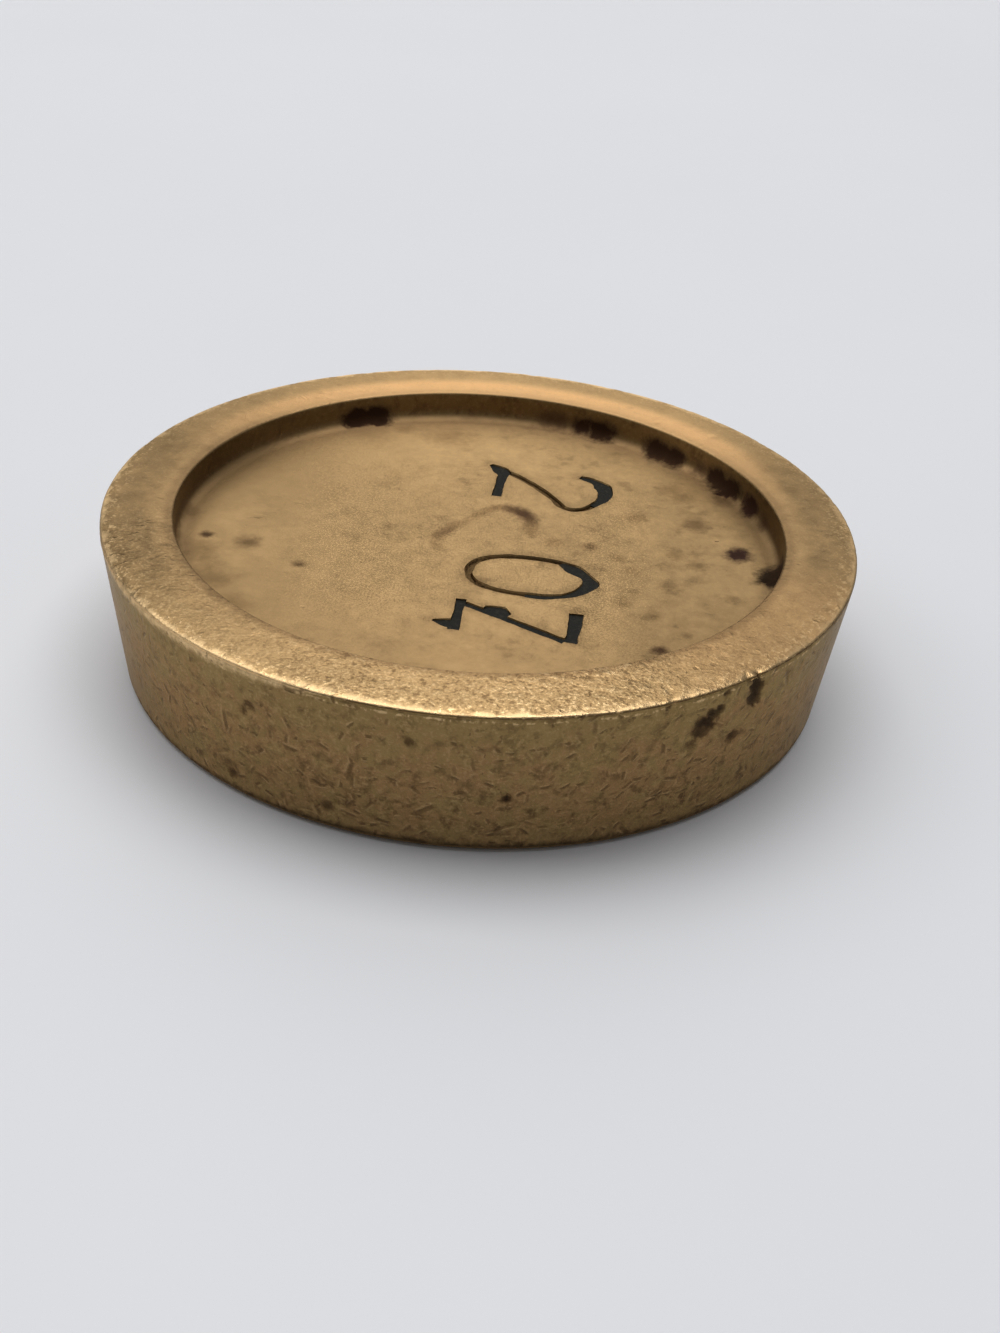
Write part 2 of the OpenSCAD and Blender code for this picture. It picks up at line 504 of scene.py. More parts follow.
def worn_tree():
    """Strikes the value mark, then wears the disc: knocks, nicks, bruised edges and turned metal."""
    sizes = ["Raised metal", "Raised width", "Dish height", "Dish radius", "Rim height", "Edge radius",
             "Edge nicks", "Loose nicks", "Burr height", "Fleck height", "Burr depth", "Burr width",
             "Bruise depth", "Bruise width"]
    tree, given = shape_tree("struck_and_worn", [
        ("Punches", "Collection"), ("Mark lines", "Object"), ("Knocks", "Object"),
        *((label, "Float") for label in sizes), ("Seed", "Int"), ("Material", "Material")])
    size = {label: Field(given[label]) for label in sizes}
    punches_in = node(tree, "GeometryNodeCollectionInfo", {
        "Collection": given["Punches"], "Separate Children": True})
    struck = node(tree, "GeometryNodeMeshBoolean", operation="DIFFERENCE", solver="MANIFOLD")
    tree.links.new(given["Mesh"], struck.inputs["Mesh 1"])
    tree.links.new(punches_in.outputs[0], struck.inputs["Mesh 2"])

    place = Field(node(tree, "GeometryNodeInputPosition").outputs[0])
    normal = Field(node(tree, "GeometryNodeInputNormal").outputs[0])
    x, y, z = split(place)
    radius = (x * x + y * y).math("SQRT")
    out_share = radius / size["Edge radius"]
    mark = node(tree, "GeometryNodeObjectInfo", {"Object": given["Mark lines"]})
    near_mark = node(tree, "GeometryNodeProximity", {
        "Geometry": mark.outputs["Geometry"], "Sample Position": place}, target_element="EDGES")
    away = Field(near_mark.outputs["Distance"]) / size["Raised width"]
    on_floor = (radius / size["Dish radius"]).math("LESS_THAN", 1.0)
    on_floor = on_floor * (z / size["Dish height"]).math("GREATER_THAN", 0.9)
    beside_mark = (away * away * -1).math("EXPONENT") * on_floor
    raised = beside_mark * size["Raised metal"]

    # Knocks and nicks: a bowl with a ragged edge round each point
    on_edge = out_share.math("GREATER_THAN", EDGE_SHARES[0])
    on_edge = on_edge * (z / size["Rim height"]).math("GREATER_THAN", EDGE_SHARES[1])
    scattered = node(tree, "GeometryNodeDistributePointsOnFaces", {
        "Mesh": given["Mesh"], "Density": on_edge * size["Edge nicks"] + size["Loose nicks"],
        "Seed": given["Seed"]})
    nicks = scattered.outputs["Points"]
    for label, (least, most), seed in (("knock_radius", NICK_R, 3), ("knock_depth", NICK_DEPTH, 5)):
        drawn = node(tree, "FunctionNodeRandomValue", {2: least * MM, 3: most * MM, "Seed": seed})
        nicks = with_number(tree, nicks, label, drawn.outputs[1])
    named = node(tree, "GeometryNodeObjectInfo", {"Object": given["Knocks"]})
    named_points = node(tree, "GeometryNodeMeshToPoints", {"Mesh": named.outputs["Geometry"]})
    all_knocks = node(tree, "GeometryNodeJoinGeometry")
    tree.links.new(nicks, all_knocks.inputs[0])
    tree.links.new(named_points.outputs[0], all_knocks.inputs[0])
    nearest = node(tree, "GeometryNodeSampleNearest", {
        "Geometry": all_knocks.outputs[0], "Sample Position": place}, domain="POINT")

    def of_nearest(value, kind="FLOAT"):
        """That value of the nearest knock."""
        sample = node(tree, "GeometryNodeSampleIndex", {
            "Geometry": all_knocks.outputs[0], "Value": value, "Index": nearest.outputs[0]},
            data_type=kind)
        return Field(sample.outputs[0])

    def stored(name):
        """The number of that name on each knock."""
        kept = node(tree, "GeometryNodeInputNamedAttribute", {"Name": name}, data_type="FLOAT")
        return kept.outputs[0]

    knock_place = of_nearest(node(tree, "GeometryNodeInputPosition").outputs[0], "FLOAT_VECTOR")
    knock_radius = of_nearest(stored("knock_radius"))
    knock_depth = of_nearest(stored("knock_depth"))
    coarse = cloud(place, 1.3 / MM)
    finer = cloud(place, 3.2 / MM, detail=1.0)
    ragged = coarse * 1.6 + finer * 1.1 - 0.35
    reach = place.vector("DISTANCE", knock_place) / knock_radius * ragged
    bowl = (1 - (reach * reach)).math("MAXIMUM", 0.0)
    knock = bowl * bowl
    strength = (knock_depth / (DIRTY_DEPTH * MM) - 0.15).math("ADD", 0.0, clamp=True) * bowl

    # Metal turned down over the side, in patches: a fine groove, and below it a broken ridge
    on_side = out_share.math("GREATER_THAN", 0.98)
    below = (z - size["Burr height"]) / size["Burr width"]
    dip = (below * below * -1).math("EXPONENT") * cloud(place, 0.45 / MM).rise(0.38, 0.55)
    ridge = (z - size["Fleck height"]) / size["Burr width"]
    ridge = (ridge * ridge * -1).math("EXPONENT") * coarse.rise(0.45, 0.6) * 0.6
    burr = (dip - ridge) * on_side * size["Burr depth"]

    # The bruised edge, pushed in most at the front, where it was handled
    off_r = (radius - size["Edge radius"]) / size["Bruise width"]
    off_z = (z - size["Rim height"]) / size["Bruise width"]
    at_edge = ((off_r * off_r + off_z * off_z) * -1).math("EXPONENT")
    toward_front = (x / size["Edge radius"]).rise(0.1, 0.75) * 0.8 + 0.2
    handled = (y / size["Edge radius"] * -1).rise(0.1, 0.5) * toward_front
    bruise = cloud(place, 0.26 / MM, detail=3.0).rise(0.35, 0.75) * toward_front + handled * 0.7
    bruise = bruise * at_edge * size["Bruise depth"]

    sunk = raised - knock * knock_depth - burr
    pushed = joined(tree, x * -1, y * -1, radius * -1).vector("NORMALIZE").vector("SCALE", bruise)
    mesh = with_number(tree, struck.outputs["Mesh"], "knock", strength)
    mesh = with_number(tree, mesh, "beside_mark", beside_mark)
    moved = node(tree, "GeometryNodeSetPosition", {
        "Geometry": mesh, "Offset": normal.vector("SCALE", sunk).vector("ADD", pushed)})
    soft = node(tree, "GeometryNodeSetShadeSmooth", {"Geometry": moved.outputs[0], "Shade Smooth": True})
    bend = Field(node(tree, "GeometryNodeInputMeshEdgeAngle").outputs["Unsigned Angle"])
    crisp = node(tree, "GeometryNodeSetShadeSmooth", {
        "Geometry": soft.outputs[0], "Selection": bend.math("GREATER_THAN", CRISP_BEND),
        "Shade Smooth": False}, domain="EDGE")
    finish_tree(tree, crisp.outputs[0], given["Material"])
    return tree


def new_material(name):
    """An empty node material."""
    material = bpy.data.materials.new(name)
    material.use_nodes = True
    material.node_tree.nodes.clear()
    return material, material.node_tree


def mixed(factor, a, b):
    """Colour a where the factor is 0, and b where it is 1."""
    blend = node(factor.socket.id_data, "ShaderNodeMix", {0: factor, 6: a, 7: b}, data_type="RGBA")
    return Field(blend.outputs[2])


def in_mm(tree):
    """The place on the piece, in mm."""
    return Field(node(tree, "ShaderNodeTexCoord").outputs["Object"]).vector("SCALE", 1 / MM)


def noted(tree, name):
    """A number that the mesh holds at each point."""
    return Field(node(tree, "ShaderNodeAttribute", attribute_name=name).outputs["Fac"])


def principled(tree, inputs):
    """Ends the material with its shader."""
    shader = node(tree, "ShaderNodeBsdfPrincipled", inputs)
    tree.links.new(shader.outputs[0], tree.nodes.new("ShaderNodeOutputMaterial").inputs["Surface"])


BRASS = (0.56, 0.36, 0.165, 1)
TARNISH = (0.34, 0.22, 0.1, 1)
OLIVE = (0.31, 0.208, 0.083, 1)
REDDISH = (0.335, 0.198, 0.085, 1)
BROWN = (0.14, 0.082, 0.036, 1)
# bright worn brass, also used for painted highlights and glints
WORN_AND_HIGHLIGHT = (0.88, 0.615, 0.32, 1)
DIRT = (0.115, 0.062, 0.025, 1)
# grime, also used for painted shade in the dish's corner and at its lip
GRIME_AND_SHADE = (0.125, 0.06, 0.028, 1)
IN_MARK = (0.16, 0.1, 0.044, 1)
# rubbed bright brass, also used for painted highlights on the rim
RUBBED_AND_HIGHLIGHT = (0.86, 0.51, 0.23, 1)
STAIN = (0.042, 0.014, 0.014, 1)
DEEP_STAIN = (0.012, 0.004, 0.003, 1)
FAINT_STAIN = (0.19, 0.11, 0.045, 1)
# blackened dirt in deep knocks, also used for the painted shadow round the foot
BLACKENED_AND_SHADOW = (0.03, 0.014, 0.01, 1)
EDGE_TINT = (0.82, 0.76, 0.67, 1)
# Stains on the dish, (x, y, radius, strength): a long curl between the 2 and the O, then spots
CURL = [
    (-1.2, 2.45, 0.3, 0.25), (-2.3, 2.3, 0.45, 0.45), (-3.3, 1.95, 0.55, 0.62), (-3.85, 1.3, 0.55, 0.6),
    (-4.05, 0.65, 0.5, 0.5), (-3.75, 0.05, 0.42, 0.38), (-3.1, -0.35, 0.4, 0.35),
    (-2.3, -0.8, 0.4, 0.25), (-1.5, -1.4, 0.45, 0.4), (-0.7, -1.8, 0.45, 0.5), (0.2, -2.1, 0.45, 0.4),
    (1.4, -1.8, 0.4, 0.15),
]
SPOTS = [
    (-1.85, 12.8, 0.75, 0.85), (-0.85, 5.4, 0.5, 0.48), (3.05, -10.9, 0.75, 0.45),
    (2.8, -13.1, 0.42, 0.6), (4.6, -8.1, 0.38, 0.55), (8.45, 9.55, 0.48, 0.62), (6.8, 10.7, 0.3, 0.3),
    (-4.7, 10.4, 0.8, 0.42), (-7.8, 9.6, 0.8, 0.34), (-4.6, 7.3, 0.8, 0.32), (-8.5, 9.2, 0.9, 0.3),
    (0.1, 14.8, 1.1, 1.0), (-7.8, 11.8, 0.8, 0.5), (-8.9, 12.5, 1.2, 1.0), (-9.9, 11.9, 1.2, 1.0),
    (-7.0, 13.6, 1.0, 0.9), (-5.4, 14.3, 0.8, 0.6), (-12.3, 9.2, 1.1, 1.0), (-12.9, 8.4, 1.2, 1.0),
    (-11.2, 10.7, 1.0, 0.7), (-14.7, 4.8, 1.25, 1.0), (-15.0, 3.8, 1.1, 0.95), (-15.3, 2.1, 1.2, 0.6),
    (-13.1, -8.0, 1.2, 1.0), (-12.5, -9.0, 1.2, 1.0), (-12.2, -6.0, 0.7, 0.35), (-11.9, -3.6, 1.7, 0.3),
    (-10.9, -7.8, 1.5, 0.26), (3.6, -14.7, 0.7, 0.3), (0.8, -15.0, 1.0, 0.35), (4.4, -13.1, 1.4, 0.27),
    (7.0, -12.0, 1.5, 0.27), (9.3, -10.4, 1.4, 0.24), (-0.8, 3.6, 0.6, 0.32), (-0.2, 10.7, 0.55, 0.3),
    (-1.0, 9.7, 0.6, 0.28), (2.3, 9.5, 0.7, 0.26), (5.4, 9.0, 0.5, 0.3), (4.5, 7.5, 0.6, 0.2),
    (1.0, 7.7, 0.6, 0.2), (0.0, 6.9, 0.5, 0.22), (2.7, 12.6, 0.4, 0.25),
]
STAIN_REACH = 1.6  # a stain's soft edge ends at this many times its radius
STAIN_START = 0.4  # height on the dish's wall from which a stain narrows, and how fast
STAIN_CLIMB = 1.7


def note_stains(piece):
    """Stores how near each point is to a stain's middle, from 0 to 1, and that stain's strength."""
    spots = smooth_stroke(CURL, 4) + SPOTS
    near, strong = [], []
    for point in piece.data.vertices:
        x, y, z = point.co.x / MM, point.co.y / MM, point.co.z / MM
        share, strength = 0, 0
        if hypot(x, y) < dish_r + LIP_ROUND and z > dish_z - 0.1:
            climb = max(z - dish_z - STAIN_START, 0) * STAIN_CLIMB
            share, strength = max(
                (1 - hypot(x - spot[0], y - spot[1], climb) / (STAIN_REACH * spot[2]), spot[3])
                for spot in spots)
        near.append(max(share, 0))
        strong.append(strength)
    for label, values in (("stain_near", near), ("stain_strength", strong)):
        piece.data.attributes.new(label, "FLOAT", "POINT").data.foreach_set("value", values)


def cells_of(place, cell, seed):
    """Random cells of that size in mm: the place in them, their middles, and three random numbers."""
    scaled = place.vector("SCALE", 1 / cell).vector("ADD", seed)
    cells = node(place.socket.id_data, "ShaderNodeTexVoronoi", {"Vector": scaled, "Scale": 1.0})
    return scaled, cells.outputs, split(Field(cells.outputs["Color"]))


def dents(place, cell, size, share, seed):
    """Small round dents, one in some of the cells: 1 in the middle of the deepest, 0 outside."""
    _, outputs, (pick, spread, deep) = cells_of(place, cell, seed)
    reach = Field(outputs["Distance"]) * (cell / size) / (spread + 0.5)
    return (1 - reach * reach).math("MAXIMUM", 0.0) * pick.math("LESS_THAN", share) * (deep * 0.7 + 0.3)


def scratches(place, along, across, cell, width, length, share, seed):
    """Short bent marks, one in some of the cells, each turned its own way: the grooves, and the metal
    pushed up along one side of them."""
    scaled, outputs, (turn, pick, bend) = cells_of(place, cell, seed)
    away = scaled.vector("SUBTRACT", Field(outputs["Position"]))
    u = away.vector("DOT_PRODUCT", along)
    v = away.vector("DOT_PRODUCT", across)
    turn = turn * (2 * pi)
    long_way = u * turn.math("COSINE") + v * turn.math("SINE")
    short_way = v * turn.math("COSINE") - u * turn.math("SINE")
    short_way = (short_way + long_way * long_way * (bend - 0.5) * 0.6) * (cell / width)
    reach = (pick * 37).math("FRACT") * 0.7 + 0.5
    ends = 1 - (long_way.math("ABSOLUTE") * (cell / length) / reach).rise(0.4, 1.0)
    shown = ends * pick.math("LESS_THAN", share) * ((turn * 11).math("FRACT") * 0.7 + 0.3)
    thin = 1 - short_way.math("ABSOLUTE").rise(0.2, 1.0)
    pushed = short_way.rise(0.4, 1.1) * (1 - short_way.rise(1.1, 2.0))
    return thin * shown, pushed * shown


def turning_way(place, radius, rim):
    """The way of the turning marks on flat faces. They are rings, worn away towards the middle, where
    rubbing runs every way. Twice the angle is worked out, as a mark has no direction."""
    x, y, _ = split(place)
    kept = radius.rise(1.0, 13.0)
    rubbing = (1 - kept) * 7.0 + (1 - rim) * 1.2
    square = radius * radius + 0.01
    twice_x = (x * x - y * y) / square * kept + (cloud(place, 11.0, 0.0) - 0.47) * rubbing
    twice_y = x * y * 2 / square * kept + (cloud(place, 11.0, 0.0, seed=(8, 2, 6)) - 0.5) * rubbing
    bearing = twice_y.math("ARCTAN2", twice_x) / 2
    return joined(place.socket.id_data, bearing.math("COSINE"), bearing.math("SINE"), 0)


def brass():
    """Old turned brass: dulled, dented and scratched, dirty in its corners, bright on its edges, with
    painted highlights on its rim and edge and painted shade at its lip, rim, side and foot.
    """
    material, tree = new_material("old_turned_brass")
    place = in_mm(tree)
    x, y, z = split(place)
    radius = (x * x + y * y).math("SQRT")
    surface = Field(node(tree, "ShaderNodeNewGeometry").outputs["Normal"])
    up = split(surface)[2]
    along = joined(tree, y * -1, x, 0).vector("NORMALIZE")
    across = surface.vector("CROSS_PRODUCT", along)

    # Parts of the disc, and how much each was handled
    side = 1 - up.math("ABSOLUTE").rise(0.3, 0.75)
    rim = up.rise(0.3, 0.8) * z.rise(height - 0.5, height - 0.2)
    outside = side * radius.rise(TOP_R - 1.5, TOP_R - 1.2)
    edge_band = rim * radius.rise(TOP_R - 1.4, TOP_R - 0.3)
    at_back = (x * -1).rise(4.0, 13.0)
    handled = (y * -1).rise(2.0, 9.0) * x.rise(4.0, 12.0)
    rubbed = x.rise(2.0, 12.0) * (1 - handled * 0.6) * (1 - y.rise(7.5, 12.0) * 0.65)
    scuffed = ((x * 0.92 + y * 0.39) / radius).rise(0.95, 1.0) * rim

    # Noise from fine to broad
    fine = cloud(place, 7.0, 2.0, 0.6)
    grain = cloud(place, 2.8, 3.0, 0.62, seed=(7, 3, 1))
    smudge = cloud(place, 1.5, 2.0, 0.5, seed=(6, 1, 3))
    blotch = cloud(place, 0.9, 4.0, 0.62, seed=(4, 4, 9))
    broad = cloud(place, 0.22, 3.0, 0.55, seed=(5, 5, 5))

    # Tarnish on the flat faces, with painted light and shade on the dish and rim
    dulled_and_lit = (blotch * 0.8 + broad * 0.6 + grain * 0.5 - 0.5).rise(0.05, 0.9)
    # painted light: the tarnish is thinned on the dish's left
    dulled_and_lit = dulled_and_lit * (1 - (y * -1).rise(2.0, 10.0) * (1 - rim) * 0.6)
    colour = mixed(dulled_and_lit, BRASS, TARNISH)
    patches = (smudge * 0.35 + blotch * 0.65).rise(0.53, 0.66) * (broad + y * 0.012).rise(0.4, 0.6)
    colour = mixed(patches * (1 - rim) * 0.3, colour, BROWN)
    # painted shade: the dish floor darker towards the front
    colour = mixed(x.rise(4.0, 13.0) * (1 - rim) * 0.27, colour, BROWN)
    # painted shade: the rim darker at its left and right, where its reflection is dim
    shaded_rim_sides = ((y - x * 0.17).math("ABSOLUTE") / radius).rise(0.83, 1.0) * radius.rise(15.2, 16.6)
    colour = mixed(rim * shaded_rim_sides * (blotch.rise(0.3, 0.7) * 0.12 + 0.3), colour, BROWN)
    # a bright ring along the rim, brightest at the back: rubbed where the next weight stands, and a
    # painted highlight
    rubbed_ring_and_highlight = (1 - (radius - 15.8).math("ABSOLUTE").rise(0.2, 1.3)) * (1 - shaded_rim_sides)
    colour = mixed(rim * rubbed_ring_and_highlight * ((x * -1).rise(2.0, 12.0) * 0.65 + 0.1), colour, RUBBED_AND_HIGHLIGHT)
    # painted highlight on the rim towards the right
    painted_right_highlight = ((y * 0.87 + x * 0.5) / radius).rise(0.9, 1.0)
    colour = mixed(rim * painted_right_highlight * 0.35, colour, RUBBED_AND_HIGHLIGHT)

    # Tarnish on the side: olive above and below, reddish between, brown in the hollows, with painted
    # shade towards the foot and at the left and right
    middle = (z - 3.3) / 2.6
    red_zone = (blotch - 0.5) * 3.2 + (grain - 0.5) * 1.6 + 0.7 - middle * middle * 0.35
    side_colour = mixed(red_zone.rise(0.0, 1.0), OLIVE, REDDISH)
    hollow_and_low_shade = 1 - (smudge * 0.5 + grain * 0.35 + fine * 0.15).rise(0.34, 0.52)
    # the brown is painted heavier towards the foot as painted shade
    hollow_and_low_shade = hollow_and_low_shade * (0.95 - z.rise(1.5, 5.5) * 0.35) * (1 - (y * -1).rise(8.0, 16.0) * 0.45)
    side_colour = mixed(hollow_and_low_shade, side_colour, BROWN)
    # painted shade where the side turns away at the left and right
    painted_limb_shade = (y.math("ABSOLUTE") / radius).rise(0.86, 0.99)
    side_colour = mixed(painted_limb_shade * z.rise(1.0, 6.0) * 0.5, side_colour, BROWN)
    side_colour = mixed((1 - z.rise(0.6, 1.8)) * 0.2, side_colour, BRASS)
    colour = mixed(side, colour, side_colour)

    # Bright worn high places, and the bright worn edge with its flecks, also carrying painted glints and
    # a painted highlight along the edge
    high = (grain * 0.45 + fine * 0.55).rise(0.5, 0.64)
    low = 1 - (grain * 0.6 + fine * 0.4).rise(0.37, 0.5)
    # bright worn high places, strongest at the front, where they also stand as painted glints
    polish_and_glints = edge_band * 0.35 + rim * (rubbed * 0.4 + 0.08) + scuffed * 0.25 + side * 0.08 + 0.04
    polish_and_glints = high * polish_and_glints
    colour = mixed(low * rim * (rubbed * 0.6 + 0.1), colour, BROWN)
    colour = mixed(polish_and_glints, colour, WORN_AND_HIGHLIGHT)
    ragged = (grain - 0.5) * 1.4 + (fine - 0.5) * 0.8
    inward = ((TOP_R - 0.05) - radius).math("MAXIMUM", 0.0) / (blotch.rise(0.35, 0.65) * 0.38 + 0.1)
    downward = ((height - WORN_OUT - 0.04) - z).math("MAXIMUM", 0.0) / (handled * 0.5 + 0.06)
    # the worn edge, bright bare brass and also a painted highlight, fading towards the right
    wear_and_edge_highlight = 1 - ((inward * inward + downward * downward).math("SQRT") + ragged).rise(0.2, 1.2)
    wear_and_edge_highlight = wear_and_edge_highlight * (1 - y.rise(4.0, 12.0) * 0.45)
    flecks = (1 - (z - FLECK_Z + (blotch - 0.5) * 0.2).math("ABSOLUTE").rise(0.02, 0.09)) * outside
    flecks = flecks * (grain * 0.7 + fine * 0.3).rise(0.47, 0.58) * (1 - handled * 0.7)
    colour = mixed((wear_and_edge_highlight * 0.95).math("MAXIMUM", flecks * 0.55), colour, WORN_AND_HIGHLIGHT)

    # Dents, pits and scratches
    shallow = dents(place, cell=0.75, size=0.34, share=0.6, seed=(2.7, 8.1, 5.5))
    pits = dents(place, cell=1.7, size=0.2, share=0.3, seed=(9.1, 0.4, 6.6))
    clumped = (broad * 0.4 + blotch * 0.6).rise(0.42, 0.6) * 0.85 + 0.08
    marks, ridges_and_glints = scratches(place, along, across, cell=1.6, width=0.16, length=0.62,
                              share=clumped * 0.5, seed=(3.1, 1.7, 8.2))
    short_marks, short_ridges_and_glints = scratches(place, along, across, cell=0.75, width=0.11, length=0.36,
                                          share=clumped, seed=(1.3, 4.7, 2.2))
    marks = marks.math("MAXIMUM", short_marks)
    ridges_and_glints = ridges_and_glints.math("MAXIMUM", short_ridges_and_glints)
    # metal pushed up beside the scratches, painted bright: polish, and a painted highlight on one side
    colour = mixed(ridges_and_glints * outside * 0.16, colour, WORN_AND_HIGHLIGHT)
    colour = mixed(marks * (outside * 0.75 + rim * rubbed * 0.35), colour, BROWN)

    # Stains in the dish
    near = noted(tree, "stain_near")
    strength = noted(tree, "stain_strength")
    spread = near + (blotch - 0.5) * 0.55 + (grain - 0.5) * 0.4
    stain = (spread - 0.15).math("DIVIDE", 0.9 - strength * 0.25).rise(0.0, 1.0) * near.rise(0.0, 0.3)
    stain = stain * strength * (1 - outside)
    stain_colour = mixed(strength.rise(0.3, 0.8), FAINT_STAIN, STAIN)
    stain_colour = mixed(strength.rise(0.85, 1.0), stain_colour, DEEP_STAIN)
    colour = mixed((stain * 1.5).math("MINIMUM", 0.98), colour, stain_colour)

    # Dirt in the dish's corner, widened at the back as painted shade, painted shade at its lip, dirt and
    # painted shade under the edge, and dirt in and beside the value mark
    corner_r = radius - (dish_r - 0.1)
    corner_z = z - (dish_z + 0.2)
    corner = (corner_r * corner_r + corner_z * corner_z * 0.5).math("SQRT")
    # dirt in the dish's corner, widened at the back as painted shade from the wall
    corner_dirt_and_shade = 1 - ((corner + (blotch - 0.5) * 1.2) / (at_back * 0.8 + 1)).rise(0.15, 1.1)
    corner_dirt_and_shade = corner_dirt_and_shade * (0.27 + at_back * 0.06)
    # painted shade along the dish's lip, at the front only
    painted_lip_shade = (1 - (radius - (dish_r + 0.15)).math("ABSOLUTE").rise(0.1, 0.6)) * rim * (1 - at_back)
    colour = mixed(corner_dirt_and_shade.math("MAXIMUM", painted_lip_shade * 0.32), colour, GRIME_AND_SHADE)
    # dirt and painted shade in the groove under the turned-down edge
    under_edge_dirt_and_shade = (1 - (z - (BURR_Z + 0.06)).math("ABSOLUTE").rise(0.04, 0.1)) * outside
    under_edge_dirt_and_shade = under_edge_dirt_and_shade * (1 - handled * 0.85) * grain.rise(0.3, 0.5)
    colour = mixed(under_edge_dirt_and_shade * 0.85, colour, BROWN)
    in_groove = 1 - z.rise(dish_z - 0.1, dish_z - 0.015)
    in_groove = in_groove * radius.math("LESS_THAN", floor_r) * z.math("GREATER_THAN", dish_z - 1)
    colour = mixed(in_groove, colour, IN_MARK)
    colour = mixed(noted(tree, "beside_mark") * (grain * 0.6 + 0.1), colour, BROWN)

    # Dirt in knocks and pits, and a painted contact shadow round the foot
    knock = noted(tree, "knock")
    bruised = (knock + (grain - 0.5) * 0.9 + (fine - 0.5) * 0.5).rise(0.3, 0.7) * knock.rise(0.0, 0.2)
    # painted contact shadow round the foot
    painted_foot_shadow = (1 - (z + (grain - 0.5) * 0.5).rise(0.22, 0.75)) * outside
    # dirt in knocks and pits, with the painted foot shadow joined in
    dirt_and_foot_shadow = (bruised * (knock * 0.5 + 0.42)).math("MAXIMUM", pits * (rim + outside) * 0.45)
    dirt_and_foot_shadow = dirt_and_foot_shadow.math("MAXIMUM", painted_foot_shadow * 0.9).math("MINIMUM", 1.0)
    dirt_and_shadow_colour = mixed(knock.rise(0.6, 0.95).math("MAXIMUM", painted_foot_shadow), DIRT, BLACKENED_AND_SHADOW)
    colour = mixed(dirt_and_foot_shadow * 0.92, colour, dirt_and_shadow_colour)

    roughness = 0.24 + fine * 0.08 + blotch * 0.14 - side * 0.02 + dirt_and_foot_shadow * 0.3 + stain * 0.2
    roughness = roughness - polish_and_glints * 0.15 + corner_dirt_and_shade * 0.2 + in_groove * 0.25
    roughness = roughness.math("MINIMUM", 0.9)
    metallic = 1 - (dirt_and_foot_shadow * 0.15).math("MAXIMUM", corner_dirt_and_shade * 0.3)
    worked = rim * (rubbed * 0.95 + 0.25) + scuffed * 0.5 + outside * 1.5 + 0.12
    scored = rim * (rubbed * 0.4 + 0.05) + outside * 0.9 + 0.1
    relief = (fine * 0.009 + grain * 0.036 - shallow * 0.02) * worked
    relief = relief + (ridges_and_glints * 0.7 - marks) * scored * 0.024 - pits * 0.03
    bump = node(tree, "ShaderNodeBump", {"Strength": 1.0, "Distance": MM, "Height": relief})
    flat_way = turning_way(place, radius, rim)
    tangent = flat_way.vector("SCALE", 1 - side).vector("ADD", across.vector("SCALE", side))
    principled(tree, {
        "Base Color": colour, "Metallic": metallic, "Roughness": roughness, "Anisotropic": 0.94,
        "Specular Tint": EDGE_TINT, "Normal": bump.outputs[0], "Tangent": tangent})
    return material


cavity_roof_r = MOUTH_R + UNDERCUT
body_section = turned_section([
    (floor_r, dish_z, 0, FINE), (dish_r, dish_z, FILLET, FINE),
    (dish_r, height - WORN_IN, LIP_ROUND, FINE), (LIP_FALL[0], height - LIP_FALL[1], LIP_FALL[2], FINE),
    (CROWN[0], height, CROWN_ROUND, FINE), (CROWN[1], height, CROWN_ROUND, FINE),
    (TOP_R, height - WORN_OUT, EDGE_ROUND, FINE), (side_r(BURR[1]), BURR[1], 0, FINEST),
    (side_r(BURR[0]), BURR[0], 0, FINEST), (FOOT_R, 0, FOOT_ROUND, FINE), (MOUTH_R, 0, 0, COARSE),
    (cavity_roof_r, CAVITY_DEPTH, 0, COARSE), (0, CAVITY_DEPTH, 0, cavity_roof_r)])
turning = turned_tree()
brass_finish = brass()
knocks = knock_object()
body = shaped(
    section_object("turned_body", body_section),
    (turning, {"Disc squares": DISH_SQUARES, "Disc radius": floor_r * MM, "Disc height": dish_z * MM,
               "Faces down": False, "Material": brass_finish}),
    (worn_tree(), {
        "Punches": punch_set, "Mark lines": mark_lines, "Knocks": knocks,
        "Raised metal": 0.03 * MM, "Raised width": 0.45 * MM, "Dish height": dish_z * MM,
        "Dish radius": floor_r * MM, "Rim height": height * MM, "Edge radius": TOP_R * MM,
        "Edge nicks": EDGE_NICKS, "Loose nicks": LOOSE_NICKS,
        "Burr height": BURR_Z * MM, "Fleck height": FLECK_Z * MM,
        "Burr depth": 0.035 * MM, "Burr width": 0.055 * MM,
        "Bruise depth": 0.12 * MM, "Bruise width": 0.28 * MM, "Seed": 11, "Material": brass_finish}))
for scrap in [*punches, mark_lines, knocks]:
    bpy.data.objects.remove(scrap)
note_stains(body)
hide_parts("weight_body")
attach(body, "root")

# The value mark's filling. Black wax is rubbed into the punched characters and wiped off the dish, so it
# stays in the broad, deep strokes a little below the floor and has worn out of the thin ones.
FILL_DROP = 0.06  # how far its face lies below the floor
FILL_BITE = 0.02  # how far it reaches into the metal below its groove
FILL_GAP = 0.005  # how far its face stands off the groove's walls, and its bottom reaches into them
FILL_BOTTOM = 0.66  # share of the stroke's width at its bottom
WAX = (0.009, 0.0085, 0.006, 1)
DUSTY_WAX = (0.036, 0.032, 0.021, 1)


def filling_finish():
    """Black wax, matt, with dust in it."""
    material, tree = new_material("black_mark_wax")
    dust = cloud(in_mm(tree), 4.0, 4.0, 0.65)
    bump = node(tree, "ShaderNodeBump", {"Strength": 0.8, "Distance": MM, "Height": dust * 0.06})
    principled(tree, {
        "Base Color": mixed(dust.rise(0.45, 0.8), WAX, DUSTY_WAX), "Roughness": 0.5 + dust * 0.3,
        "Specular IOR Level": 0.12, "Normal": bump.outputs[0]})
    return material


